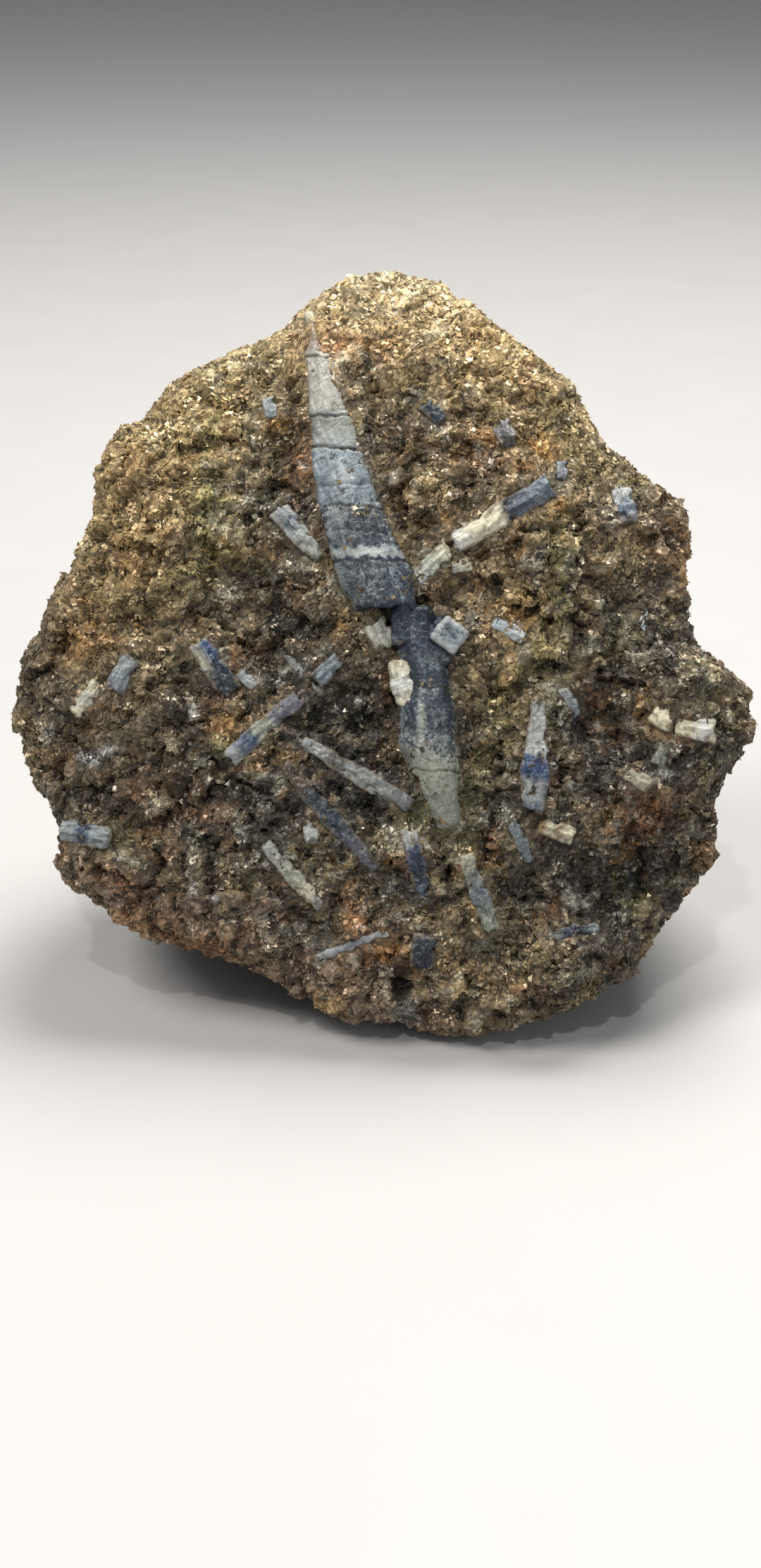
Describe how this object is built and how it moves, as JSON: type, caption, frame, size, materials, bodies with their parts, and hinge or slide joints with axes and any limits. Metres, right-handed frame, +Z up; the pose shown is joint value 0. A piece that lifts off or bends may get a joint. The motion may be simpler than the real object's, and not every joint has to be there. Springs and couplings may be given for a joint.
{
  "type": "sapphire on muscovite",
  "caption": "Hand specimen of broken mica schist with a long tapered blue-grey sapphire and smaller sapphires lying in its face, standing on a natural flat.",
  "frame": {"origin": "middle of the specimen's box at the surface that it stands on", "axes": "+Z up, +X to the right as the broken face is seen, the broken face looks towards -Y and leans back about 25 degrees"},
  "size_m": [0.0816, 0.0584, 0.0771],
  "materials": {
    "mica_schist": "rough brown to golden muscovite schist, glittering flakes",
    "sapphire_blue": "blue-grey corundum, silky, mottled darker and paler",
    "sapphire_navy": "dark navy corundum, vitreous",
    "sapphire_pale": "pale grey-green to white corundum, silky",
    "sapphire_cream": "cream stained corundum, dull"
  },
  "bodies": {
    "root": {"muscovite_matrix": "mica_schist", "main_sapphire": "sapphire_blue", "sapphire_right_branch_stub": "sapphire_pale", "sapphire_right_branch": "sapphire_pale", "sapphire_pale_block": "sapphire_pale", "sapphire_white_grain": "sapphire_cream", "sapphire_left_prism": "sapphire_navy", "sapphire_left_prism_tip": "sapphire_pale", "sapphire_left_pale_block": "sapphire_pale", "sapphire_left_pale_chip": "sapphire_pale", "sapphire_long_needle": "sapphire_pale", "sapphire_dark_needle": "sapphire_blue", "sapphire_crossing_prism": "sapphire_blue", "sapphire_lower_left_prism": "sapphire_pale", "sapphire_blue_spike": "sapphire_navy", "sapphire_lower_right_prism": "sapphire_pale", "sapphire_right_prism": "sapphire_blue", "sapphire_cream_chip": "sapphire_cream", "sapphire_cream_prism": "sapphire_cream", "sapphire_cream_prism_root": "sapphire_cream", "sapphire_pale_wedge": "sapphire_pale", "sapphire_cream_grain": "sapphire_cream", "sapphire_grey_lens": "sapphire_pale", "sapphire_left_rim_prism": "sapphire_blue", "sapphire_foot_block": "sapphire_navy", "sapphire_foot_needle": "sapphire_pale", "sapphire_knob_spar": "sapphire_navy", "sapphire_upper_left_prism": "sapphire_pale", "sapphire_lilac_end": "sapphire_pale", "sapphire_small_end": "sapphire_pale", "sapphire_right_blue_end": "sapphire_pale", "sapphire_crown_end": "sapphire_pale", "sapphire_dark_end": "sapphire_navy", "sapphire_amber_side_chip": "sapphire_pale", "sapphire_tiny_block": "sapphire_pale", "sapphire_grey_block": "sapphire_pale", "sapphire_thin_blade": "sapphire_pale", "sapphire_low_left_chip": "sapphire_pale", "sapphire_pebble_end": "sapphire_pale", "sapphire_right_grey_tip": "sapphire_pale", "sapphire_upper_right_sliver": "sapphire_pale", "sapphire_back_long_prism": "sapphire_blue", "sapphire_back_blue_prism": "sapphire_blue", "sapphire_back_pale_needle": "sapphire_pale", "sapphire_back_stub": "sapphire_pale", "sapphire_left_flank_prism": "sapphire_pale", "sapphire_right_flank_prism": "sapphire_pale", "sapphire_crown_prism": "sapphire_pale"}
  },
  "joints": []
}
